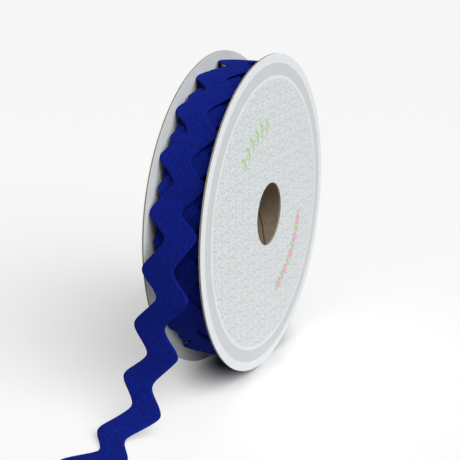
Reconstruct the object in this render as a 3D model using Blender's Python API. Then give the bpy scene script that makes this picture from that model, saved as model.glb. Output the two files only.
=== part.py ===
"""Roll of ric rac on a card reel.

A card reel stands on the rims of its two round flanges. Its core tube lies along X and opens through
both flanges. The ric rac, a flat braid with a zigzag outline, is wound on the core. Its loose end
lifts off the front of the roll, hangs down past the rims and runs out over the table towards -Y.
Lengths are in millimetres until they become mesh points.
"""

import math

import bmesh
import bpy
from mathutils import Vector

MM = 0.001

# Card reel
FLANGE_RADIUS = 50.0
FLANGE_THICKNESS = 0.6
REEL_WIDTH = 18.0
BORE_RADIUS = 10.0
CORE_RADIUS = 12.0
REST_FLAT_LENGTH = 7.7
ROUND_STEPS = 96
FIT_GAP = 0.3

# Braid
BRAID_WIDTH = 15.3
BAND_WIDTH = 9.7
LOOSE_THICKNESS = 1.0
TOOTH_SHARPNESS = 0.82
TOOTH_LEAN = 0.07
EDGE_SKEW = 0.04
STEPS_PER_WAVE = 10

# Roll: radii of the outer turn, of the turn below it and of the wound body
OUTER_TURN_START_RADIUS = 47.5
OUTER_TURN_END_RADIUS = 46.2
SECOND_TURN_RADIUS = 45.9
BODY_RADIUS = 44.6
BODY_WIDTH = 16.2
OUTER_TURN_X = -0.2
SECOND_TURN_X = 0.3
HIDDEN_LEDGE = 0.15

# Teeth on the roll: angles rise from the front (-Y) over the top
LEAVING_ANGLE = 20.0
FIRST_TOOTH_ANGLE = 13.9
WAVES_PER_TURN = 18.57
FRONT_WAVES_DRAWN_IN = 0.095
LOOSE_PITCH = 16.9
END_STEP_ANGLE = 0.1

# Loose end, mid-thickness: x, y and height above the table of each station past the roll
LOOSE_END_STATIONS = (
    (0.1, -50.9, 49.8),
    (-0.9, -52.3, 38.5),
    (-2.8, -53.0, 26.0),
    (-4.3, -55.8, 14.4),
    (-5.8, -62.6, 4.6),
    (-7.1, -72.0, 0.8),
    (-8.3, -81.0, 0.5),
    (-10.3, -96.0, 0.5),
)
CURVE_STEPS = 24

# Values worked out from the sizes above
AMPLITUDE = (BRAID_WIDTH - BAND_WIDTH) / 2
FLAT_HALF_ANGLE = math.asin(REST_FLAT_LENGTH / 2 / FLANGE_RADIUS)
AXIS_HEIGHT = FLANGE_RADIUS * math.cos(FLAT_HALF_ANGLE)
INNER_FACE_X = REEL_WIDTH / 2 - FLANGE_THICKNESS
LOOSE_START_RADIUS = OUTER_TURN_START_RADIUS - LOOSE_THICKNESS / 2


def clear_scene():
    for old in list(bpy.data.objects):
        bpy.data.objects.remove(old, do_unlink=True)


def make_material(name, color, roughness):
    material = bpy.data.materials.new(name)
    material.use_nodes = True
    shader = material.node_tree.nodes["Principled BSDF"]
    shader.inputs["Base Color"].default_value = (*color, 1.0)
    shader.inputs["Roughness"].default_value = roughness
    shader.inputs["Metallic"].default_value = 0.0
    return material


def finish_mesh(name, bm, material, parent, sharp_angle=30):
    bmesh.ops.recalc_face_normals(bm, faces=bm.faces)
    mesh = bpy.data.meshes.new(name)
    bm.to_mesh(mesh)
    bm.free()
    mesh.shade_smooth()
    mesh.set_sharp_from_angle(angle=math.radians(sharp_angle))
    mesh.materials.append(material)
    piece = bpy.data.objects.new(name, mesh)
    bpy.context.collection.objects.link(piece)
    piece.parent = parent
    return piece


def loft(sections, closed):
    """Skin a row of equal sections. An open row gets its first and last section as end faces."""
    bm = bmesh.new()
    rings = [[bm.verts.new(Vector(point) * MM) for point in section] for section in sections]
    pairs = list(zip(rings, rings[1:]))
    if closed:
        pairs.append((rings[-1], rings[0]))
    else:
        bm.faces.new(rings[0])
        bm.faces.new(rings[-1])
    count = len(rings[0])
    for near, far in pairs:
        for i in range(count):
            j = (i + 1) % count
            bm.faces.new((near[i], near[j], far[j], far[i]))
    return bm


def around_axis(x, radius, angle):
    """A point on a circle about the reel's axis; angle in degrees from the front (-Y) over the top."""
    turn = math.radians(angle)
    return Vector((x, -radius * math.cos(turn), radius * math.sin(turn)))


def washer(outline, hole, near_x, far_x):
    """A flat ring between two outlines of (y, z) points, from near_x to far_x."""
    bm = bmesh.new()
    loops = []
    for points in (outline, hole):
        verts = [bm.verts.new((near_x * MM, y * MM, z * MM)) for y, z in points]
        loops += [bm.edges.new((a, b)) for a, b in zip(verts, verts[1:] + verts[:1])]
    ring = bmesh.ops.bridge_loops(bm, edges=loops)["faces"]
    moved = bmesh.ops.extrude_face_region(bm, geom=ring)["geom"]
    far_verts = [item for item in moved if isinstance(item, bmesh.types.BMVert)]
    bmesh.ops.translate(bm, verts=far_verts, vec=((far_x - near_x) * MM, 0, 0))
    return bm


def ring_outline(radius, flat_half_angle):
    """Points of a circle that start and end at the two ends of a level chord at its bottom."""
    bottom = -math.pi / 2
    sweep = 2 * (math.pi - flat_half_angle)
    step = sweep / (ROUND_STEPS - 1)
    angles = [bottom + flat_half_angle + step * i for i in range(ROUND_STEPS)]
    return [(radius * math.cos(a), radius * math.sin(a)) for a in angles]


def card_flange(name, outer_x, inner_x, material, parent):
    outline = ring_outline(FLANGE_RADIUS, FLAT_HALF_ANGLE)
    hole = ring_outline(BORE_RADIUS, FLAT_HALF_ANGLE)
    return finish_mesh(name, washer(outline, hole, outer_x, inner_x), material, parent)


def core_tube(material, parent):
    half_width = INNER_FACE_X - FIT_GAP
    even_gap = math.pi / ROUND_STEPS
    outline = ring_outline(CORE_RADIUS, even_gap)
    bore = ring_outline(BORE_RADIUS, even_gap)
    return finish_mesh("core_tube", washer(outline, bore, -half_width, half_width), material, parent)


def zigzag(phase):
    """A triangle wave with round tips, -1 at a left tooth and +1 at a right one, leaning a little."""
    leaning = phase + TOOTH_LEAN * math.sin(math.pi * phase) ** 2
    return -math.asin(TOOTH_SHARPNESS * math.cos(math.tau * leaning)) / math.asin(TOOTH_SHARPNESS)


def edge_offset(phase, side):
    """Distance of the braid's left (-1) or right (+1) edge from its mean line."""
    return side * BAND_WIDTH / 2 + AMPLITUDE * zigzag(phase + side * EDGE_SKEW)


def wound_phase(angle):
    """Waves of the braid between the first tooth and a place that lies this far round the roll."""
    turns = (angle - FIRST_TOOTH_ANGLE) / 360
    return -(WAVES_PER_TURN * turns + FRONT_WAVES_DRAWN_IN * math.sin(math.tau * turns))


def roll_section(angle):
    """The roll's outline in the half plane at one angle: body, second turn and outer turn, stepped."""
    turn_share = (angle - LEAVING_ANGLE) / 360
    fall = OUTER_TURN_START_RADIUS - OUTER_TURN_END_RADIUS
    outer_radius = OUTER_TURN_START_RADIUS - fall * turn_share
    outer_phase = wound_phase(angle)
    second_phase = wound_phase(angle + 360)
    outer_left = OUTER_TURN_X + edge_offset(outer_phase, -1)
    outer_right = OUTER_TURN_X + edge_offset(outer_phase, 1)
    second_left = min(SECOND_TURN_X + edge_offset(second_phase, -1), outer_left - HIDDEN_LEDGE)
    second_right = max(SECOND_TURN_X + edge_offset(second_phase, 1), outer_right + HIDDEN_LEDGE)
    half_body = BODY_WIDTH / 2
    inner_radius = CORE_RADIUS + FIT_GAP
    profile = (
        (-half_body, inner_radius),
        (-half_body, BODY_RADIUS),
        (second_left, BODY_RADIUS),
        (second_left, SECOND_TURN_RADIUS),
        (outer_left, SECOND_TURN_RADIUS),
        (outer_left, outer_radius),
        (outer_right, outer_radius),
        (outer_right, SECOND_TURN_RADIUS),
        (second_right, SECOND_TURN_RADIUS),
        (second_right, BODY_RADIUS),
        (half_body, BODY_RADIUS),
        (half_body, inner_radius),
    )
    return [around_axis(x, radius, angle) for x, radius in profile]


def ric_rac_roll(material, parent):
    """The wound braid as one solid ring, raised in the zigzags of its two outermost turns."""
    steps = round(WAVES_PER_TURN * STEPS_PER_WAVE)
    sweep = 360 - END_STEP_ANGLE
    angles = [LEAVING_ANGLE + sweep * i / steps for i in range(steps + 1)]
    bm = loft([roll_section(angle) for angle in angles], closed=True)
    return finish_mesh("ric_rac_roll", bm, material, parent)


def smooth_curve(points, first_direction):
    """Dense points on a smooth curve through the given points, which starts off in one direction."""
    last = len(points) - 1
    slopes = [first_direction.normalized()]
    for i in range(1, last):
        before = points[i] - points[i - 1]
        after = points[i + 1] - points[i]
        slopes.append((before.normalized() * after.length + after.normalized() * before.length).normalized())
    slopes.append((points[last] - points[last - 1]).normalized())
    dense = [points[0]]
    for i in range(last):
        reach = (points[i + 1] - points[i]).length
        for k in range(1, CURVE_STEPS + 1):
            t = k / CURVE_STEPS
            start_share = 2 * t**3 - 3 * t**2 + 1
            start_pull = (t**3 - 2 * t**2 + t) * reach
            end_pull = (t**3 - t**2) * reach
            place = points[i] * start_share + points[i + 1] * (1 - start_share)
            dense.append(place + slopes[i] * start_pull + slopes[i + 1] * end_pull)
    return dense


def loose_end_line():
    """Mean line of the loose end about the reel's axis, from the roll to its cut end."""
    start = around_axis(OUTER_TURN_X, LOOSE_START_RADIUS, LEAVING_ANGLE)
    downwards = around_axis(0, 1, LEAVING_ANGLE - 90)
    stations = [Vector((x, y, z - AXIS_HEIGHT)) for x, y, z in LOOSE_END_STATIONS]
    line = smooth_curve([start] + stations, downwards)
    lowest = LOOSE_THICKNESS / 2 - AXIS_HEIGHT
    return [Vector((p.x, p.y, max(p.z, lowest))) for p in line]


def walk_line(line, step):
    """Places at even steps along a line, each with its distance from the start and its direction."""
    lengths = [0.0]
    for a, b in zip(line, line[1:]):
        lengths.append(lengths[-1] + (b - a).length)
    count = round(lengths[-1] / step)
    places = []
    k = 0
    for i in range(count + 1):
        s = lengths[-1] * i / count
        while k < len(line) - 2 and lengths[k + 1] < s:
            k += 1
        share = (s - lengths[k]) / (lengths[k + 1] - lengths[k])
        places.append((s, line[k].lerp(line[k + 1], share), (line[k + 1] - line[k]).normalized()))
    return places


def loose_end_section(s, place, along):
    """The braid's four corners at one place of the loose end."""
    arc_above_tooth = math.radians(LEAVING_ANGLE - FIRST_TOOTH_ANGLE) * LOOSE_START_RADIUS
    past_tooth = s - arc_above_tooth
    if past_tooth < 0:
        phase = wound_phase(FIRST_TOOTH_ANGLE - math.degrees(past_tooth / LOOSE_START_RADIUS))
    else:
        phase = past_tooth / LOOSE_PITCH
    across = Vector((1, 0, 0))
    across = (across - along * along.x).normalized()
    outwards = along.cross(across) * (LOOSE_THICKNESS / 2)
    left = place + across * edge_offset(phase, -1)
    right = place + across * edge_offset(phase, 1)
    corners = [left - outwards, right - outwards, right + outwards, left + outwards]
    return [Vector((p.x, p.y, max(p.z, -AXIS_HEIGHT))) for p in corners]


def ric_rac_tail(material, parent):
    """The loose end, cut straight across where it ends."""
    places = walk_line(loose_end_line(), LOOSE_PITCH / STEPS_PER_WAVE)
    sections = [loose_end_section(*place) for place in places]
    s, place, along = places[0]
    sections[0] = loose_end_section(s, place + along * FIT_GAP, along)
    return finish_mesh("ric_rac_tail", loft(sections, closed=False), material, parent)


def stand_on_origin(axis, pieces):
    """Move the reel's axis so that the origin is at the bottom centre of all the pieces."""
    points = [vertex.co for piece in pieces for vertex in piece.data.vertices]
    low = [min(point[i] for point in points) for i in range(3)]
    high = [max(point[i] for point in points) for i in range(3)]
    axis.location = (-(low[0] + high[0]) / 2, -(low[1] + high[1]) / 2, -low[2])


def build():
    clear_scene()
    printed_card = make_material("printed_card", (0.70, 0.72, 0.74), 0.35)
    kraft_board = make_material("kraft_board", (0.20, 0.13, 0.08), 0.85)
    braid = make_material("braid", (0.012, 0.018, 0.19), 0.9)
    axis = bpy.data.objects.new("reel_axis", None)
    bpy.context.collection.objects.link(axis)
    outer_x = REEL_WIDTH / 2
    pieces = [
        card_flange("card_flange_left", -outer_x, -INNER_FACE_X, printed_card, axis),
        card_flange("card_flange_right", outer_x, INNER_FACE_X, printed_card, axis),
        core_tube(kraft_board, axis),
        ric_rac_roll(braid, axis),
        ric_rac_tail(braid, axis),
    ]
    stand_on_origin(axis, pieces)


build()
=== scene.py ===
# %% [markdown]
# # A roll of ric rac on a card reel
#
# Ric rac is a flat braid woven so that both of its edges run in the same zigzag. Ten yards of it are wound
# on a short board tube between two round card flanges, and the loose end comes off the front of the roll.
# The reel and the roll arrive as plain solids. This lesson dresses them: it winds the real braid turn by
# turn, lets the loose end hang to the table, prints the card and lights the whole.

# %% Modules and the frame
import math

import bmesh
import bpy
from mathutils import Matrix, Vector
from mathutils.geometry import interpolate_bezier


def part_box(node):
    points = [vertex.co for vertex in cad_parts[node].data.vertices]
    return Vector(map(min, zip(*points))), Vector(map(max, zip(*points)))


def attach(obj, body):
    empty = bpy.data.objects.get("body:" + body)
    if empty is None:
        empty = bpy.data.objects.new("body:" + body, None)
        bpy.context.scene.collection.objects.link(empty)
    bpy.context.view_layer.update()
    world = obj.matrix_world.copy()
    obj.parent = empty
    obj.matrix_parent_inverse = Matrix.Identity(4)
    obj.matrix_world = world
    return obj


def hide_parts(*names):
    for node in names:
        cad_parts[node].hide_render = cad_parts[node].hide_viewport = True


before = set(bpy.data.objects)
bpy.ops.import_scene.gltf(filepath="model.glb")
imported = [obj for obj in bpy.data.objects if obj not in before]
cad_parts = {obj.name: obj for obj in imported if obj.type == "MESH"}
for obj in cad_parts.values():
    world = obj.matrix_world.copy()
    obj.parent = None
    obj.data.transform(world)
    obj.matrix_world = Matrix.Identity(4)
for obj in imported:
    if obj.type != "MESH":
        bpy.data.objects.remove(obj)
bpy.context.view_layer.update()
print("solids loaded:", sorted(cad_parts))

# %% [markdown]
# ## Where the reel stands
#
# The two flanges give the middle of the reel. All sizes below are in millimetres round the reel's axis, with
# x along the axis, and one helper turns them into points of the scene. Working about the axis keeps each
# formula short, because nearly everything on a reel is round.

# %% The reel's axis
MM = 0.001
FLANGE_RADIUS = 50.0
FLANGE_THICKNESS = 0.6
REEL_WIDTH = 18.0
BORE_RADIUS = 10.0
CORE_RADIUS = 12.0
REST_FLAT_LENGTH = 7.7
AXIS_HEIGHT = math.sqrt(FLANGE_RADIUS**2 - (REST_FLAT_LENGTH / 2) ** 2)

left_low, left_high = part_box("card_flange_left")
right_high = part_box("card_flange_right")[1]
axis_point = Vector(
    ((left_low.x + right_high.x) / 2, (left_low.y + left_high.y) / 2, left_low.z + AXIS_HEIGHT * MM)
)
print("reel axis at", [round(value, 5) for value in axis_point])


def in_scene(point):
    """A point in millimetres about the reel's axis, as a point of the scene."""
    return axis_point + point * MM


def around_axis(x, radius, angle):
    """A point on a circle about the axis; angle in degrees from the front (-Y) over the top."""
    turn = math.radians(angle)
    return Vector((x, -radius * math.cos(turn), radius * math.sin(turn)))


# %% [markdown]
# ## The camera
#
# The camera comes first, so that every later piece can be judged from the right place. A short telephoto
# lens looks down a little on the reel from its front right. The camera is turned by three plain rotations:
# about the upright axis, then down towards the table, then a hair of roll.

# %% The camera
CAMERA_PLACE = Vector((0.11758, -0.24245, 0.13218))
CAMERA_AZIMUTH = 24.017
CAMERA_ELEVATION = 17.086
CAMERA_ROLL = 0.435

camera_data = bpy.data.cameras.new("camera")
camera_data.lens = 73.565
camera_data.sensor_width = 36.0
camera_data.clip_start = 0.01
camera = bpy.data.objects.new("camera", camera_data)
bpy.context.collection.objects.link(camera)
camera.matrix_world = (
    Matrix.Translation(CAMERA_PLACE)
    @ Matrix.Rotation(math.radians(CAMERA_AZIMUTH), 4, "Z")
    @ Matrix.Rotation(math.radians(90 - CAMERA_ELEVATION), 4, "X")
    @ Matrix.Rotation(math.radians(CAMERA_ROLL), 4, "Z")
)
bpy.context.scene.camera = camera
bpy.context.scene.view_settings.view_transform = "Standard"
print("camera is", round((camera.location - axis_point).length * 1000), "mm from the middle of the reel")

# %% [markdown]
# ## The outline of the braid
#
# Each edge of ric rac is a triangle wave with rounded tips. An arcsine of a softened cosine gives exactly
# that: the closer the softening is to 1, the sharper the teeth. Both edges run together, so the band keeps
# its width. Winding pulls the braid a little out of true, so the bends to the left are rounder than those to
# the right, and where the braid hangs free the right edge slips back.

# %% The zigzag
BRAID_WIDTH = 15.3
BAND_WIDTH = 9.7
BRAID_THICKNESS = 0.7
TOOTH_HEIGHT = (BRAID_WIDTH - BAND_WIDTH) / 2
TOOTH_SHARPNESS = 0.77
SHARPER_TO_RIGHT = 0.09
LEFT_LEAN = 0.067
WOUND_RIGHT_LEAN = 0.02
SLACK_RIGHT_LEAN = 0.07
WOUND_LEFT_LAG = 0.04
TABLE_LEFT_LAG = -0.06
WOUND_RIGHT_LAG = 0.05
SLACK_RIGHT_LAG = -0.04


def ease(low, high, value):
    """0 to 1, smoothly, as value goes from low to high."""
    share = min(max((value - low) / (high - low), 0.0), 1.0)
    return share * share * (3 - 2 * share)


def between(first, second, share):
    """The value at a share of the way from the first to the second."""
    return first + (second - first) * share


def zigzag(phase, lean):
    """A wave with round tips, -1 at a left tooth and +1 at a right one; one wave for each whole phase."""
    swing = math.cos(math.tau * (phase + lean * math.sin(math.pi * phase) ** 2))
    sharpness = TOOTH_SHARPNESS - SHARPER_TO_RIGHT * swing
    return -math.asin(sharpness * swing) / math.asin(sharpness)


def across_braid(phase, share):
    """Offset from the braid's mean line; share runs from -1 at the left edge to +1 at the right."""
    slack = ease(-0.3, 0.4, phase)
    left_lag = between(WOUND_LEFT_LAG, TABLE_LEFT_LAG, ease(2.5, 3.0, phase))
    right_lag = between(WOUND_RIGHT_LAG, SLACK_RIGHT_LAG, slack)
    right_lean = between(WOUND_RIGHT_LEAN, SLACK_RIGHT_LEAN, slack)
    left = -BAND_WIDTH / 2 + TOOTH_HEIGHT * zigzag(phase - left_lag, LEFT_LEAN)
    right = BAND_WIDTH / 2 + TOOTH_HEIGHT * zigzag(phase - right_lag, right_lean)
    return between(left, right, (share + 1) / 2)


# %% [markdown]
# ## A strip that wraps round itself
#
# A braid has a top, an underside and soft round edges. One way is a flat strip with a Solidify and a Bevel
# modifier. Here a single grid does it all: its rows run along the braid and its columns wrap once round the
# cross-section, so the two outer columns meet under the braid and are merged. Two UV maps are written at the
# same time, in centimetres. One follows the zigzag, as the yarns do, and the other runs straight along.

# %% Strip builder
FINE_SECTION = (
    (0.0, -1.0), (0.3, -1.0), (0.62, -1.0), (0.88, -1.0), (0.968, -0.8), (1.0, -0.3),
    (1.0, 0.3), (0.968, 0.8), (0.88, 1.0), (0.62, 1.0), (0.3, 1.0),
    (0.0, 1.0), (-0.3, 1.0), (-0.62, 1.0), (-0.88, 1.0), (-0.968, 0.8), (-1.0, 0.3),
    (-1.0, -0.3), (-0.968, -0.8), (-0.88, -1.0), (-0.62, -1.0), (-0.3, -1.0),
)
PLAIN_SECTION = ((0.0, -1.0), (1.0, -0.75), (1.0, 0.75), (0.0, 1.0), (-1.0, 0.75), (-1.0, -0.75))


def finish_piece(name, bm, material, sharp_angle=40):
    """The bmesh as an object at the origin, smooth but for its sharp edges."""
    mesh = bpy.data.meshes.new(name)
    bm.to_mesh(mesh)
    bm.free()
    mesh.shade_smooth()
    mesh.set_sharp_from_angle(angle=math.radians(sharp_angle))
    for entry in material if isinstance(material, list) else [material]:
        mesh.materials.append(entry)
    piece = bpy.data.objects.new(name, mesh)
    bpy.context.collection.objects.link(piece)
    triangles = sum(len(polygon.vertices) - 2 for polygon in mesh.polygons)
    print(f"{name}: {triangles} triangles")
    return piece


def braid_strip(name, section, steps, place, material):
    """A closed strip of braid; place(step share, across, up) gives its point, run and offset in mm."""
    bm = bmesh.new()
    following = bm.loops.layers.uv.new("following")
    straight = bm.loops.layers.uv.new("straight")
    bmesh.ops.create_grid(bm, x_segments=len(section), y_segments=steps, size=0.5)
    spots = {}
    for vert in bm.verts:
        column = round((vert.co.x + 0.5) * len(section)) % len(section)
        row = round((vert.co.y + 0.5) * steps)
        across, up = section[column]
        point, run, offset = place(row / steps, across, up)
        vert.co = in_scene(point)
        spots[vert] = (run / 10, across * BAND_WIDTH / 20, offset / 10)
    for face in bm.faces:
        for corner in face.loops:
            run, follow, offset = spots[corner.vert]
            corner[following].uv = (run, follow)
            corner[straight].uv = (run, offset)
    bmesh.ops.remove_doubles(bm, verts=bm.verts, dist=1e-7)
    ends = [edge for edge in bm.edges if edge.is_boundary]
    bmesh.ops.holes_fill(bm, edges=ends, sides=0)
    bmesh.ops.recalc_face_normals(bm, faces=bm.faces)
    return finish_piece(name, bm, material, 50)


# %% [markdown]
# ## Node helpers
#
# The materials are all built from nodes, and a few helpers keep them readable. Some add one node and wire
# its inputs: a Math node, a soft step, a mix of two colours, a noise, a bump. Others start a node group with
# named sockets, place a group in a material, or start a material.

# %% Node helpers
def wire(tree, value, socket):
    """Link an output to a socket, or set the socket to a plain value."""
    if isinstance(value, bpy.types.NodeSocket):
        tree.links.new(value, socket)
    else:
        socket.default_value = value


def calc(tree, operation, *values):
    """The result of one Math node."""
    node = tree.nodes.new("ShaderNodeMath")
    node.operation = operation
    for value, socket in zip(values, node.inputs):
        wire(tree, value, socket)
    return node.outputs[0]


def ramp(tree, value, low, high):
    """0 below low, 1 above high, smooth between; low may be above high."""
    node = tree.nodes.new("ShaderNodeMapRange")
    node.interpolation_type = "SMOOTHSTEP"
    wire(tree, value, node.inputs["Value"])
    wire(tree, low, node.inputs["From Min"])
    wire(tree, high, node.inputs["From Max"])
    return node.outputs["Result"]


def blend(tree, share, first, second, mode="MIX"):
    """Two colours mixed by a share."""
    node = tree.nodes.new("ShaderNodeMix")
    node.data_type = "RGBA"
    node.blend_type = mode
    wire(tree, share, node.inputs["Factor"])
    wire(tree, first, node.inputs["A"])
    wire(tree, second, node.inputs["B"])
    return node.outputs["Result"]


def noise(tree, vector, scale, detail=2.0, roughness=0.5, stretch=None):
    """A noise texture's value, its pattern stretched by dividing the vector along each axis."""
    if stretch:
        node = tree.nodes.new("ShaderNodeVectorMath")
        node.operation = "DIVIDE"
        wire(tree, vector, node.inputs[0])
        node.inputs[1].default_value = stretch
        vector = node.outputs[0]
    node = tree.nodes.new("ShaderNodeTexNoise")
    wire(tree, vector, node.inputs["Vector"])
    node.inputs["Scale"].default_value = scale
    node.inputs["Detail"].default_value = detail
    node.inputs["Roughness"].default_value = roughness
    return node.outputs["Fac"]


def split(tree, vector):
    """The three parts of a vector."""
    node = tree.nodes.new("ShaderNodeSeparateXYZ")
    wire(tree, vector, node.inputs[0])
    return node.outputs[0], node.outputs[1], node.outputs[2]


def join(tree, x, y, z=0.0):
    """A vector from three parts."""
    node = tree.nodes.new("ShaderNodeCombineXYZ")
    for value, socket in zip((x, y, z), node.inputs):
        wire(tree, value, socket)
    return node.outputs[0]


def new_group(name, inputs, outputs):
    """An empty node group; returns it, its input sockets by name and its output node."""
    group = bpy.data.node_groups.new(name, "ShaderNodeTree")
    for label, kind, value in inputs:
        socket = group.interface.new_socket(name=label, in_out="INPUT", socket_type=kind)
        if value is not None:
            socket.default_value = value
    for label, kind in outputs:
        group.interface.new_socket(name=label, in_out="OUTPUT", socket_type=kind)
    start = group.nodes.new("NodeGroupInput")
    end = group.nodes.new("NodeGroupOutput")
    return group, start.outputs, end.inputs


def use_group(tree, group, **values):
    """Place a group; underscores in the names stand for spaces. Returns its outputs."""
    node = tree.nodes.new("ShaderNodeGroup")
    node.node_tree = group
    for label, value in values.items():
        wire(tree, value, node.inputs[label.replace("_", " ")])
    return node.outputs


def new_material(name, roughness, **fixed):
    """A material with its Principled BSDF and the values that are the same all over."""
    material = bpy.data.materials.new(name)
    material.use_nodes = True
    tree = material.node_tree
    shader = tree.nodes["Principled BSDF"]
    shader.inputs["Roughness"].default_value = roughness
    for label, value in fixed.items():
        shader.inputs[label.replace("_", " ")].default_value = value
    return material, tree, shader


def bump(tree, height, strength, distance, normal_socket):
    """A Bump node into a normal socket; distance is in metres."""
    node = tree.nodes.new("ShaderNodeBump")
    node.inputs["Strength"].default_value = strength
    node.inputs["Distance"].default_value = distance
    wire(tree, height, node.inputs["Height"])
    tree.links.new(node.outputs["Normal"], normal_socket)


def srgb(red, green, blue):
    """A colour picked on screen (0 to 255) as the linear colour that a shader works with."""
    linear = []
    for value in (red, green, blue):
        part = value / 255
        linear.append(part / 12.92 if part <= 0.04045 else ((part + 0.055) / 1.055) ** 2.4)
    return (*linear, 1.0)


# %% [markdown]
# ## The braid's material
#
# Ric rac is woven of fine spun yarns. The warp yarns follow the zigzag, the weft crosses them, and a haze
# of loose fibre ends catches the light. The group below mixes three scales from the UV maps: the two yarn
# directions as fine ridges, long soft streaks where some yarns took the dye deeper, and tiny fuzz specks.
# Cloth has almost no mirror shine, so the roughness is high and a little sheen lifts the edges.

# %% Yarn group
yarn_group, given, result = new_group(
    "woven_yarns",
    [
        ("Following", "NodeSocketVector", None),
        ("Straight", "NodeSocketVector", None),
        ("Warp Spacing", "NodeSocketFloat", 0.046),
        ("Weft Spacing", "NodeSocketFloat", 0.052),
    ],
    [("Height", "NodeSocketFloat"), ("Tone", "NodeSocketFloat"), ("Fuzz", "NodeSocketFloat")],
)
wobble = noise(yarn_group, given["Straight"], 14.0, 2.0)
along, across, _ = split(yarn_group, given["Following"])
shifted_across = calc(yarn_group, "MULTIPLY_ADD", wobble, 0.05, across)
shifted_along = calc(yarn_group, "MULTIPLY_ADD", wobble, 0.06, along)
across_turns = calc(yarn_group, "MULTIPLY", shifted_across, math.tau)
along_turns = calc(yarn_group, "MULTIPLY", shifted_along, math.tau)
warp_turn = calc(yarn_group, "DIVIDE", across_turns, given["Warp Spacing"])
weft_turn = calc(yarn_group, "DIVIDE", along_turns, given["Weft Spacing"])
warp = calc(yarn_group, "ABSOLUTE", calc(yarn_group, "SINE", calc(yarn_group, "MULTIPLY", warp_turn, 0.5)))
weft = calc(yarn_group, "ABSOLUTE", calc(yarn_group, "SINE", calc(yarn_group, "MULTIPLY", weft_turn, 0.5)))
weave = calc(yarn_group, "MULTIPLY", calc(yarn_group, "SQRT", warp), calc(yarn_group, "SQRT", weft))
streaks = noise(yarn_group, given["Straight"], 26.0, 3.0, 0.6, stretch=(5.0, 1.0, 1.0))
mottle = noise(yarn_group, given["Straight"], 11.0, 3.0, 0.6, stretch=(1.6, 1.0, 1.0))
fuzz = noise(yarn_group, given["Straight"], 38.0, 2.0, 0.7, stretch=(1.5, 1.0, 1.0))
height = calc(yarn_group, "MULTIPLY_ADD", fuzz, 0.8, weave)
soft_mottle = calc(yarn_group, "MULTIPLY", mottle, 0.4)
tone = calc(yarn_group, "MULTIPLY_ADD", streaks, 0.6, soft_mottle)
wire(yarn_group, height, result["Height"])
wire(yarn_group, calc(yarn_group, "MULTIPLY_ADD", weave, 0.12, tone), result["Tone"])
wire(yarn_group, ramp(yarn_group, fuzz, 0.56, 0.78), result["Fuzz"])

# %% Braid material
braid_material, tree, shader = new_material("royal_blue_braid", 0.9, Sheen_Weight=0.12, Sheen_Roughness=0.5)
shader.inputs["Sheen Tint"].default_value = srgb(70, 100, 220)
shader.inputs["Specular IOR Level"].default_value = 0.06
maps = {}
for label in ("following", "straight"):
    node = tree.nodes.new("ShaderNodeUVMap")
    node.uv_map = label
    maps[label] = node.outputs[0]
yarns = use_group(tree, yarn_group, Following=maps["following"], Straight=maps["straight"])
dyed = blend(tree, ramp(tree, yarns["Tone"], 0.36, 0.74), srgb(13, 22, 104), srgb(20, 38, 146))
lit = blend(tree, calc(tree, "MULTIPLY", yarns["Fuzz"], 0.55), dyed, srgb(44, 70, 166))
wire(tree, lit, shader.inputs["Base Color"])
bump(tree, yarns["Height"], 0.5, 0.00018, shader.inputs["Normal"])

# %% [markdown]
# ## Winding the braid
#
# On the reel the braid is a spiral of nearly fifty turns. The teeth of one turn never line up with those of
# the next, because each turn is a little shorter, so between the teeth of the outer turn the teeth of the
# next show. A solid drum with a zigzag on it would lose that depth. Instead the real spiral is wound: seven
# fine turns outside, and plainer ones below, where only their edges are ever seen.

# %% The spiral
LEAVING_ANGLE = 20.0
FIRST_TOOTH_ANGLE = 13.9
WAVES_PER_TURN = 18.57
FRONT_WAVES_DRAWN_IN = 0.095
WAVES_LOST_PER_TURN = 0.288
OUTER_RADIUS = 47.5
TURN_PITCH = 0.718
OUTER_TURN_GAP = 0.45
TURN_COUNT = 48
FINE_TURNS = 7
LEAVING_TURN_X = -0.6
OUTER_TURN_X = -0.72
INNER_TURN_X = 0.3
INNER_TURN_SWAY = 0.24


def wound_phase(angle):
    """Waves between the first tooth and a place that lies this far round the roll, counted inwards."""
    turns = (angle - FIRST_TOOTH_ANGLE) / 360
    shorter = WAVES_LOST_PER_TURN * max(0.0, turns - 1.3) ** 2 / 2
    return -(WAVES_PER_TURN * turns - shorter + FRONT_WAVES_DRAWN_IN * math.sin(math.tau * turns))


def turn_x(turns):
    """How far a turn lies off the middle of the reel; the outer one leans on the left flange."""
    outer = between(LEAVING_TURN_X, OUTER_TURN_X, ease(0.03, 0.15, turns))
    inner = INNER_TURN_X - INNER_TURN_SWAY * math.cos(math.pi * (turns - 1.2))
    return between(outer, inner, ease(0.62, 0.98, turns))


def wound_place(turns, across, up):
    """Point, run and offset of the braid at a number of turns inwards from where it leaves the roll."""
    angle = LEAVING_ANGLE + 360 * turns
    offset = across_braid(wound_phase(angle), across)
    sunk = TURN_PITCH * turns + OUTER_TURN_GAP * ease(0.3, 1.0, turns)
    radius = OUTER_RADIUS - sunk + (up - 1) * BRAID_THICKNESS / 2
    run = -math.tau * (OUTER_RADIUS * turns - TURN_PITCH * turns**2 / 2)
    return around_axis(turn_x(turns) + offset, radius, angle), run, offset


# %% The wound turns
def outer_turns(share, across, up):
    return wound_place(share * FINE_TURNS, across, up)


def inner_turns(share, across, up):
    return wound_place(FINE_TURNS + share * (TURN_COUNT - FINE_TURNS), across, up)


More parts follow.
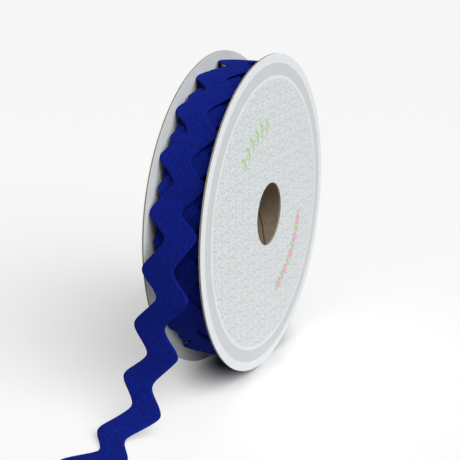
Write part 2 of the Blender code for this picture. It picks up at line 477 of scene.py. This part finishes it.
STEPS_PER_WAVE = 20
INNER_STEPS = 4200
fine_steps = round(WAVES_PER_TURN * STEPS_PER_WAVE * FINE_TURNS)
roll_outer = braid_strip("ric_rac_outer_turns", FINE_SECTION, fine_steps, outer_turns, braid_material)
roll_inner = braid_strip("ric_rac_inner_turns", PLAIN_SECTION, INNER_STEPS, inner_turns, braid_material)
for piece in (roll_outer, roll_inner):
    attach(piece, "root")
    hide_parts("ric_rac_roll")

# %% [markdown]
# ## The loose end
#
# The loose end leaves the roll along its tangent, hangs past the rims, swings forward and settles on the
# table. Braid this stiff bends in one smooth sweep, so a few stations joined by bezier arcs describe it
# better than a simulation would. Its width stays square to its run, and its pitch is that of slack braid.

# %% Line of the loose end
LOOSE_PITCH = 16.9
LOOSE_STATIONS = (
    (-0.2, -50.9, 49.8),
    (-1.3, -52.3, 38.5),
    (-3.2, -53.0, 26.0),
    (-4.7, -55.8, 14.4),
    (-6.2, -62.6, 4.6),
    (-7.4, -72.0, 0.7),
    (-8.5, -81.0, 0.36),
    (-10.4, -96.0, 0.36),
)


def loose_line():
    """Dense points on the mean line of the loose end, about the reel's axis."""
    knots = [around_axis(turn_x(0), OUTER_RADIUS - BRAID_THICKNESS / 2, LEAVING_ANGLE)]
    knots += [Vector((x, y, z - AXIS_HEIGHT)) for x, y, z in LOOSE_STATIONS]
    slopes = [around_axis(0, 1, LEAVING_ANGLE - 90)]
    for before, here, after in zip(knots, knots[1:], knots[2:]):
        back = here - before
        ahead = after - here
        slopes.append((back.normalized() * ahead.length + ahead.normalized() * back.length).normalized())
    slopes.append((knots[-1] - knots[-2]).normalized())
    line = [knots[0]]
    for i in range(len(knots) - 1):
        reach = (knots[i + 1] - knots[i]).length / 3
        first_handle = knots[i] + slopes[i] * reach
        second_handle = knots[i + 1] - slopes[i + 1] * reach
        line += interpolate_bezier(knots[i], first_handle, second_handle, knots[i + 1], 60)[1:]
    return line


# %% The loose end
line = loose_line()
lengths = [0.0]
for a, b in zip(line, line[1:]):
    lengths.append(lengths[-1] + (b - a).length)
loose_length = lengths[-1]
arc_above_tooth = math.radians(LEAVING_ANGLE - FIRST_TOOTH_ANGLE) * (OUTER_RADIUS - BRAID_THICKNESS / 2)


def loose_phase(run):
    """The zigzag's phase at a run past the roll, in step with the wound part."""
    past_tooth = run - arc_above_tooth
    if past_tooth < 0:
        return wound_phase(FIRST_TOOTH_ANGLE - math.degrees(past_tooth / OUTER_RADIUS))
    return past_tooth / LOOSE_PITCH


def on_line(run):
    """Point and direction at a run along the loose end."""
    k = 0
    while k < len(line) - 2 and lengths[k + 1] < run:
        k += 1
    share = (run - lengths[k]) / (lengths[k + 1] - lengths[k])
    before = line[max(k - 1, 0)]
    after = line[min(k + 2, len(line) - 1)]
    return line[k].lerp(line[k + 1], share), (after - before).normalized()


def loose_place(share, across, up):
    """Point, run and offset of the loose end."""
    run = share * loose_length
    middle, along = on_line(run)
    sideways = Vector((1, 0, 0))
    sideways = (sideways - along * along.x).normalized()
    outwards = sideways.cross(along)
    offset = across_braid(loose_phase(run), across)
    point = middle + sideways * offset + outwards * (up * BRAID_THICKNESS / 2)
    point.z = max(point.z, -AXIS_HEIGHT)
    return point, run, offset


loose_steps = round(loose_length / LOOSE_PITCH * STEPS_PER_WAVE)
loose_end = braid_strip("ric_rac_loose_end", FINE_SECTION, loose_steps, loose_place, braid_material)
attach(loose_end, "root")
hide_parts("ric_rac_tail")
print("loose end is", round(loose_length, 1), "mm long")

# %% [markdown]
# ## Paper and board
#
# Card is pressed fibre. One group gives all the board on the reel its look: long fibres as a soft mottle,
# fine ones as a bump, and a few darker flecks. The printed card uses it faintly under its ink, the bare
# board strongly.

# %% Fibre group
fibre_group, given, result = new_group(
    "board_fibres",
    [("Vector", "NodeSocketVector", None), ("Scale", "NodeSocketFloat", 1.0)],
    [("Mottle", "NodeSocketFloat"), ("Fleck", "NodeSocketFloat"), ("Height", "NodeSocketFloat")],
)
scaled = fibre_group.nodes.new("ShaderNodeVectorMath")
scaled.operation = "SCALE"
wire(fibre_group, given["Vector"], scaled.inputs[0])
wire(fibre_group, given["Scale"], scaled.inputs["Scale"])
soft = noise(fibre_group, scaled.outputs[0], 450.0, 4.0, 0.6, stretch=(1.0, 3.0, 1.0))
fine = noise(fibre_group, scaled.outputs[0], 2600.0, 3.0, 0.7, stretch=(1.0, 1.0, 2.2))
wire(fibre_group, soft, result["Mottle"])
wire(fibre_group, ramp(fibre_group, fine, 0.60, 0.74), result["Fleck"])
wire(fibre_group, calc(fibre_group, "MULTIPLY_ADD", soft, 0.4, fine), result["Height"])


def board_coordinates(tree):
    """Object coordinates in metres, counted from the middle of the reel."""
    place = tree.nodes.new("ShaderNodeTexCoord")
    mapping = tree.nodes.new("ShaderNodeMapping")
    mapping.inputs["Location"].default_value = -axis_point
    tree.links.new(place.outputs["Object"], mapping.inputs["Vector"])
    return mapping.outputs["Vector"]


# %% [markdown]
# ## A damask for the printed card
#
# The card is printed tone on tone with a damask, the old ornament of mirrored scrolls and flowers. It could
# be drawn as curves, but a pattern in nodes stays sharp at any size. One group draws a single motif in a
# tile that is mirrored about its middle: a rosette, two scrolls that curl away from it, a bud above and
# leaves round it. The card then lays it twice, the second time half a tile aside and half a tile up. Sizes
# are in millimetres.

# %% Damask motif
TILE_WIDTH = 9.6
TILE_HEIGHT = 12.4
PETAL_LINE = 0.3
SCROLL_LINE = 0.21

motif_group, given, result = new_group(
    "damask_motif", [("Vector", "NodeSocketVector", None)], [("Mask", "NodeSocketFloat")]
)
tile_x, tile_y, _ = split(motif_group, given["Vector"])
wrapped_x = calc(motif_group, "WRAP", tile_x, TILE_WIDTH / 2, -TILE_WIDTH / 2)
tile_up = calc(motif_group, "WRAP", tile_y, TILE_HEIGHT / 2, -TILE_HEIGHT / 2)
tile_side = calc(motif_group, "ABSOLUTE", wrapped_x)


def polar(tree, x, y, at_x=0.0, at_y=0.0, squeeze=1.0):
    """Distance and angle from a point of a drawing."""
    dx = calc(tree, "MULTIPLY", calc(tree, "SUBTRACT", x, at_x), squeeze)
    dy = calc(tree, "SUBTRACT", y, at_y)
    distance = calc(tree, "SQRT", calc(tree, "MULTIPLY_ADD", dx, dx, calc(tree, "MULTIPLY", dy, dy)))
    return distance, calc(tree, "ARCTAN2", dy, dx)


def stroke(tree, value, width):
    """1 where the value is within the width of zero, with a soft edge."""
    return ramp(tree, calc(tree, "ABSOLUTE", value), width * 1.3, width * 0.7)


def scroll(tree, at_x, at_y, size, lead, start, direction):
    """A spiral line that fades out past its size."""
    distance, angle = polar(tree, tile_side, tile_up, at_x, at_y)
    winding = calc(tree, "MULTIPLY_ADD", angle, direction / math.tau, start)
    turn = calc(tree, "WRAP", calc(tree, "ADD", calc(tree, "DIVIDE", distance, lead), winding), 0.5, -0.5)
    inside = ramp(tree, distance, size * 1.06, size * 0.96)
    return calc(tree, "MULTIPLY", stroke(tree, turn, SCROLL_LINE), inside)


def petals(tree, x, y, radius, depth, count, squeeze=1.0):
    """A flower outline of round petals, as an open ring with a dot."""
    distance, angle = polar(tree, x, y, squeeze=squeeze)
    wave = calc(tree, "COSINE", calc(tree, "MULTIPLY", angle, count))
    edge = calc(tree, "MULTIPLY_ADD", wave, depth, radius)
    ring = stroke(tree, calc(tree, "SUBTRACT", distance, edge), PETAL_LINE)
    return calc(tree, "MAXIMUM", ring, ramp(tree, distance, radius * 0.42, radius * 0.28))


def leaf(tree, x, y, at_x, at_y, angle, length, width):
    """A filled leaf about a point, turned by an angle in degrees."""
    turn = math.radians(angle)
    dx = calc(tree, "SUBTRACT", x, at_x)
    dy = calc(tree, "SUBTRACT", y, at_y)
    run = calc(tree, "MULTIPLY_ADD", dx, math.cos(turn), calc(tree, "MULTIPLY", dy, math.sin(turn)))
    aside = calc(tree, "MULTIPLY_ADD", dy, math.cos(turn), calc(tree, "MULTIPLY", dx, -math.sin(turn)))
    share = calc(tree, "DIVIDE", run, length)
    swell = calc(tree, "SUBTRACT", 1.0, calc(tree, "MULTIPLY", share, share))
    reach = calc(tree, "MULTIPLY", calc(tree, "MAXIMUM", swell, 0.0), width)
    return ramp(tree, calc(tree, "SUBTRACT", calc(tree, "ABSOLUTE", aside), reach), 0.08, -0.08)


def together(tree, shapes):
    """One mask that covers what any of the shapes covers."""
    mask = shapes[0]
    for shape in shapes[1:]:
        mask = calc(tree, "MAXIMUM", mask, shape)
    return mask


above_rosette = calc(motif_group, "SUBTRACT", tile_up, 3.9)
drawn = [
    petals(motif_group, tile_side, tile_up, 1.1, 0.26, 6.0),
    petals(motif_group, tile_side, above_rosette, 0.95, 0.2, 3.0, 1.3),
    scroll(motif_group, 2.75, 1.35, 1.6, 1.05, 0.1, 1.0),
    scroll(motif_group, 2.45, -1.95, 1.45, 1.0, 0.3, -1.0),
    leaf(motif_group, tile_side, tile_up, 0.95, 2.35, 58.0, 0.95, 0.34),
    leaf(motif_group, tile_side, tile_up, 0.75, -2.2, -62.0, 1.05, 0.36),
    leaf(motif_group, tile_side, tile_up, 0.55, -4.2, -75.0, 1.1, 0.38),
    leaf(motif_group, tile_side, tile_up, 1.15, 5.2, 35.0, 0.85, 0.3),
    leaf(motif_group, tile_side, tile_up, 4.3, -0.35, 80.0, 0.9, 0.3),
]
wire(motif_group, together(motif_group, drawn), result["Mask"])

# %% [markdown]
# ## The coloured ornament
#
# Over the damask lies a garland that bends round the hole: a green stem with small rose-coloured blossoms
# and a pair of leaves between each two. The stem is a circle, so the motif is drawn once against the
# distance along that circle and the distance from it, and repeated by wrapping the first. A leafy sprig
# across from it is made the same way.

# %% Along a circle
GARLAND_RADIUS = 27.5
GARLAND_ANGLE = -44.0
GARLAND_STEP = 13.0
GARLAND_BLOSSOMS = 5
SPRIG_RADIUS = 29.0
SPRIG_ANGLE = 116.0
SPRIG_STEP = 7.6
SPRIG_PAIRS = 6

ornament_group, given, result = new_group(
    "garland_and_sprig",
    [("Radius", "NodeSocketFloat", 0.0), ("Angle", "NodeSocketFloat", 0.0)],
    [("Rose", "NodeSocketFloat"), ("Leaf", "NodeSocketFloat")],
)


def along_circle(tree, circle, middle, step, count):
    """Repeated run along a circle and offset from it in millimetres, and a mask of the arc of repeats."""
    from_middle = calc(tree, "SUBTRACT", given["Angle"], math.radians(middle))
    sweep = calc(tree, "WRAP", from_middle, math.pi, -math.pi)
    step_length = math.radians(step) * circle
    shifted = calc(tree, "MULTIPLY_ADD", sweep, circle, step_length * (count % 2 - 1) / 2)
    run = calc(tree, "WRAP", shifted, step_length / 2, -step_length / 2)
    half_arc = math.radians(step * count / 2)
    arc = ramp(tree, calc(tree, "ABSOLUTE", sweep), half_arc + 0.005, half_arc - 0.005)
    return run, calc(tree, "SUBTRACT", given["Radius"], circle), arc


# %% Garland
run, offset, arc = along_circle(
    ornament_group, GARLAND_RADIUS, GARLAND_ANGLE, GARLAND_STEP, GARLAND_BLOSSOMS
)
distance, turn = polar(ornament_group, run, offset)
five_fold = calc(ornament_group, "COSINE", calc(ornament_group, "MULTIPLY", turn, 5.0))
petal_edge = calc(ornament_group, "MULTIPLY_ADD", five_fold, 0.4, 1.9)
blossom = ramp(ornament_group, calc(ornament_group, "SUBTRACT", distance, petal_edge), 0.12, -0.12)
heart = ramp(ornament_group, distance, 0.4, 0.65)
rose = calc(ornament_group, "MULTIPLY", calc(ornament_group, "MULTIPLY", blossom, heart), arc)
half_step = math.radians(GARLAND_STEP) * GARLAND_RADIUS / 2
from_between = calc(ornament_group, "SUBTRACT", half_step, calc(ornament_group, "ABSOLUTE", run))
either_side = calc(ornament_group, "ABSOLUTE", offset)
garland_green = together(
    ornament_group,
    [
        leaf(ornament_group, from_between, either_side, 0.25, 1.0, 68.0, 1.35, 0.55),
        stroke(ornament_group, offset, 0.22),
    ],
)
garland_green = calc(ornament_group, "MULTIPLY", garland_green, arc)
wire(ornament_group, rose, result["Rose"])

# %% Sprig
run, offset, arc = along_circle(ornament_group, SPRIG_RADIUS, SPRIG_ANGLE, SPRIG_STEP, SPRIG_PAIRS)
either_side = calc(ornament_group, "ABSOLUTE", offset)
sprig_green = together(
    ornament_group,
    [
        leaf(ornament_group, run, either_side, 0.1, 1.5, 52.0, 1.6, 0.62),
        stroke(ornament_group, offset, 0.24),
    ],
)
sprig_green = calc(ornament_group, "MULTIPLY", sprig_green, arc)
wire(ornament_group, calc(ornament_group, "MAXIMUM", garland_green, sprig_green), result["Leaf"])

# %% [markdown]
# ## The flanges' print
#
# Seen from its side, a flange has a white rim, a light grey ring, a thin white line and then the damask
# field. Each is a range of distances from the reel's middle, so the print is drawn from polar coordinates.
# The coloured ornament is printed over the damask on the near flange alone.

# %% Printed card
WHITE_LINE_FROM = (42.35, 42.5)
GREY_RING_FROM = (43.35, 43.5)
WHITE_RIM_FROM = (47.1, 47.3)


def printed_card(name, with_colours):
    """Coated card with its print; the far flange is printed without the colours."""
    material, tree, shader = new_material(name, 0.55, Coat_Weight=0.1, Coat_Roughness=0.35)
    place = board_coordinates(tree)
    x, y, z = split(tree, place)
    y_mm = calc(tree, "MULTIPLY", y, 1000.0)
    z_mm = calc(tree, "MULTIPLY", z, 1000.0)
    radius, angle = polar(tree, y_mm, z_mm)
    first = use_group(tree, motif_group, Vector=join(tree, y_mm, z_mm))["Mask"]
    half_aside = calc(tree, "ADD", y_mm, TILE_WIDTH / 2)
    half_up = calc(tree, "ADD", z_mm, TILE_HEIGHT / 2)
    second = use_group(tree, motif_group, Vector=join(tree, half_aside, half_up))["Mask"]
    damask = calc(tree, "MAXIMUM", first, second)
    field = blend(tree, damask, srgb(206, 211, 211), srgb(232, 236, 238))
    if with_colours:
        ornament = use_group(tree, ornament_group, Radius=radius, Angle=angle)
        field = blend(tree, calc(tree, "MULTIPLY", ornament["Leaf"], 0.8), field, srgb(168, 214, 116))
        field = blend(tree, calc(tree, "MULTIPLY", ornament["Rose"], 0.85), field, srgb(238, 158, 198))
    line = blend(tree, ramp(tree, radius, *WHITE_LINE_FROM), field, srgb(234, 237, 240))
    ring = blend(tree, ramp(tree, radius, *GREY_RING_FROM), line, srgb(209, 214, 214))
    rim = blend(tree, ramp(tree, radius, *WHITE_RIM_FROM), ring, srgb(234, 237, 241))
    fibres = use_group(tree, fibre_group, Vector=place, Scale=1.0)
    shade = calc(tree, "MULTIPLY_ADD", fibres["Mottle"], 0.10, 0.95)
    tinted = blend(tree, 1.0, rim, join(tree, shade, shade, shade), "MULTIPLY")
    wire(tree, tinted, shader.inputs["Base Color"])
    bump(tree, fibres["Height"], 0.12, 0.00003, shader.inputs["Normal"])
    return material


card_front = printed_card("printed_card_with_garland", True)
card_back = printed_card("printed_card_plain", False)

# %% [markdown]
# ## Bare board
#
# Inside, the flanges are plain grey-white liner. Where the card was punched, its kraft middle shows between
# two pale skins, and the core tube is kraft all through, wound from a strip whose edge leaves a spiral line.

# %% Liner
liner, tree, shader = new_material("card_liner", 0.75)
fibres = use_group(tree, fibre_group, Vector=board_coordinates(tree), Scale=1.0)
mottled = blend(tree, fibres["Mottle"], srgb(205, 209, 208), srgb(224, 227, 227))
wire(tree, mottled, shader.inputs["Base Color"])
bump(tree, fibres["Height"], 0.2, 0.00004, shader.inputs["Normal"])

# %% Cut edge
SKIN = 0.00012
cut_edge, tree, shader = new_material("card_cut_edge", 0.9)
place = board_coordinates(tree)
x, y, z = split(tree, place)
fibres = use_group(tree, fibre_group, Vector=place, Scale=1.6)
from_outside = calc(tree, "SUBTRACT", REEL_WIDTH / 2 * MM, calc(tree, "ABSOLUTE", x))
from_inside = calc(tree, "SUBTRACT", FLANGE_THICKNESS * MM, from_outside)
from_skin = calc(tree, "MINIMUM", from_outside, from_inside)
skin = ramp(tree, from_skin, SKIN, SKIN / 2)
kraft = blend(tree, fibres["Mottle"], srgb(128, 119, 104), srgb(172, 163, 146))
wire(tree, blend(tree, skin, kraft, srgb(214, 214, 210)), shader.inputs["Base Color"])
bump(tree, fibres["Height"], 0.5, 0.00008, shader.inputs["Normal"])

# %% Kraft tube
SEAM_LEAD = 0.030
kraft_tube, tree, shader = new_material("kraft_tube", 0.85)
place = board_coordinates(tree)
x, y, z = split(tree, place)
fibres = use_group(tree, fibre_group, Vector=place, Scale=1.0)
angle = calc(tree, "ARCTAN2", z, y)
winding = calc(tree, "ADD", calc(tree, "DIVIDE", x, SEAM_LEAD), calc(tree, "DIVIDE", angle, math.tau))
seam = calc(tree, "ABSOLUTE", calc(tree, "WRAP", winding, 0.5, -0.5))
brown = blend(tree, fibres["Mottle"], srgb(96, 82, 66), srgb(140, 123, 102))
flecked = blend(tree, calc(tree, "MULTIPLY", fibres["Fleck"], 0.4), brown, srgb(72, 58, 44))
seamed = blend(tree, ramp(tree, seam, 0.014, 0.006), flecked, srgb(78, 66, 52))
wire(tree, seamed, shader.inputs["Base Color"])
step = calc(tree, "MULTIPLY_ADD", ramp(tree, seam, 0.016, 0.006), -1.5, fibres["Height"])
bump(tree, step, 0.6, 0.0001, shader.inputs["Normal"])


# %% [markdown]
# ## Flanges and core
#
# A flange is a disc of card with a punched hole. Two circles are bridged into a ring, the ring is extruded
# to the card's thickness, and a very small bevel softens the punched edges so that they catch a line of
# light. At the bottom the rim is pressed flat where the reel stands. The core tube is made the same way.

# %% Rings of card
def card_ring(name, radius, hole, near_x, far_x, soft, materials):
    """A ring from near_x to far_x; materials are for the near side, the far side and the cut edges."""
    bm = bmesh.new()
    sideways = Matrix.Translation((near_x * MM, 0, 0)) @ Matrix.Rotation(math.radians(90), 4, "Y")
    for size in (radius, hole):
        bmesh.ops.create_circle(bm, segments=256, radius=size * MM, matrix=sideways)
    ring = bmesh.ops.bridge_loops(bm, edges=bm.edges[:])["faces"]
    moved = bmesh.ops.extrude_face_region(bm, geom=ring)["geom"]
    far_verts = [item for item in moved if isinstance(item, bmesh.types.BMVert)]
    bmesh.ops.translate(bm, verts=far_verts, vec=((far_x - near_x) * MM, 0, 0))
    bmesh.ops.recalc_face_normals(bm, faces=bm.faces)
    sharp = [edge for edge in bm.edges if edge.calc_face_angle() > math.radians(60)]
    bmesh.ops.bevel(
        bm,
        geom=sharp,
        offset=soft * MM,
        affect="EDGES",
        segments=2,
        profile=0.5,
        material=-1,
        clamp_overlap=True,
    )
    middle = (near_x + far_x) / 2 * MM
    towards_near = near_x - far_x
    for face in bm.faces:
        if abs(face.normal.x) > 0.95:
            near = (face.calc_center_median().x - middle) * towards_near > 0
            face.material_index = 0 if near else 1
        else:
            face.material_index = 2
    for vert in bm.verts:
        vert.co.z = max(vert.co.z, -AXIS_HEIGHT * MM)
        vert.co += axis_point
    return finish_piece(name, bm, materials, 20)


outer_x = REEL_WIDTH / 2
inner_x = outer_x - FLANGE_THICKNESS
flange_right = card_ring(
    "card_flange_near", FLANGE_RADIUS, BORE_RADIUS, outer_x, inner_x, 0.08, [card_front, liner, cut_edge]
)
flange_left = card_ring(
    "card_flange_far", FLANGE_RADIUS, BORE_RADIUS, -outer_x, -inner_x, 0.08, [card_back, liner, cut_edge]
)
core = card_ring("core_tube_kraft", CORE_RADIUS, BORE_RADIUS, -inner_x, inner_x, 0.05, [kraft_tube] * 3)
for piece, node, slot in (
    (flange_right, "card_flange_right", "printed_card"),
    (flange_left, "card_flange_left", "plain_card"),
    (core, "core_tube", "kraft_board"),
):
    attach(piece, "root")
    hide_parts(node)

# %% [markdown]
# ## Floor and light
#
# A plain pale floor fills the view. One broad soft light stands high at the right, which keeps the printed
# side clean and bright and leaves the winding between the flanges in some shade, and a faint one hangs near
# the top. The floor glows a little where the camera sees it, as a lit backdrop does. Round the reel's
# footprint the glow fades out, and that is painted shade: a dark contact shadow under the reel and between
# its flanges, deeper than the shadow the lamps alone cast there.

# %% Floor
FLOOR_GLOW = 0.46
FLOOR_TONE = (0.6, 0.6, 0.6, 1.0)
FLOOR_BOUNCE = (0.5, 0.5, 0.5, 1.0)
PAINTED_SHADOW_HALF_WIDTH = 0.012
PAINTED_SHADOW_HALF_LENGTH = 0.022

floor_material, tree, shader = new_material("pale_floor", 0.6)
shader.inputs["Specular IOR Level"].default_value = 0.1
seen = tree.nodes.new("ShaderNodeLightPath").outputs["Is Camera Ray"]
wire(tree, blend(tree, seen, FLOOR_BOUNCE, FLOOR_TONE), shader.inputs["Base Color"])
x, y, z = split(tree, tree.nodes.new("ShaderNodeTexCoord").outputs["Object"])
# Painted shadow: an ellipse round the reel's footprint where the glow fades to nothing, darkening the floor
# under the reel and between its flanges beyond its real shadow.
aside = calc(tree, "DIVIDE", calc(tree, "SUBTRACT", x, axis_point.x), PAINTED_SHADOW_HALF_WIDTH)
ahead = calc(tree, "DIVIDE", calc(tree, "SUBTRACT", y, axis_point.y), PAINTED_SHADOW_HALF_LENGTH)
from_reel, _ = polar(tree, aside, ahead)
outside_painted_shadow = ramp(tree, from_reel, 0.5, 1.7)
shader.inputs["Emission Color"].default_value = (1.0, 1.0, 1.0, 1.0)
glow = calc(tree, "MULTIPLY", calc(tree, "MULTIPLY", seen, outside_painted_shadow), FLOOR_GLOW)
wire(tree, glow, shader.inputs["Emission Strength"])
bm = bmesh.new()
bmesh.ops.create_grid(bm, x_segments=1, y_segments=1, size=8.0)
floor = finish_piece("floor", bm, floor_material)

# %% Lights
world = bpy.data.worlds.new("studio")
bpy.context.scene.world = world
world.use_nodes = True
background = world.node_tree.nodes["Background"]
background.inputs["Color"].default_value = (1.0, 1.0, 1.0, 1.0)
background.inputs["Strength"].default_value = 0.02


def broad_light(name, azimuth, elevation, spread, strength):
    """A far light as wide as a softbox; azimuth 0 is in front of the reel, 90 at its right."""
    data = bpy.data.lights.new(name, "SUN")
    data.angle = math.radians(spread)
    data.energy = strength
    light = bpy.data.objects.new(name, data)
    light.rotation_euler = (math.radians(90 - elevation), 0, math.radians(azimuth))
    bpy.context.collection.objects.link(light)
    return light


broad_light("right_light", 66, 42, 60, 3.3)
broad_light("top_light", 40, 75, 60, 0.35)
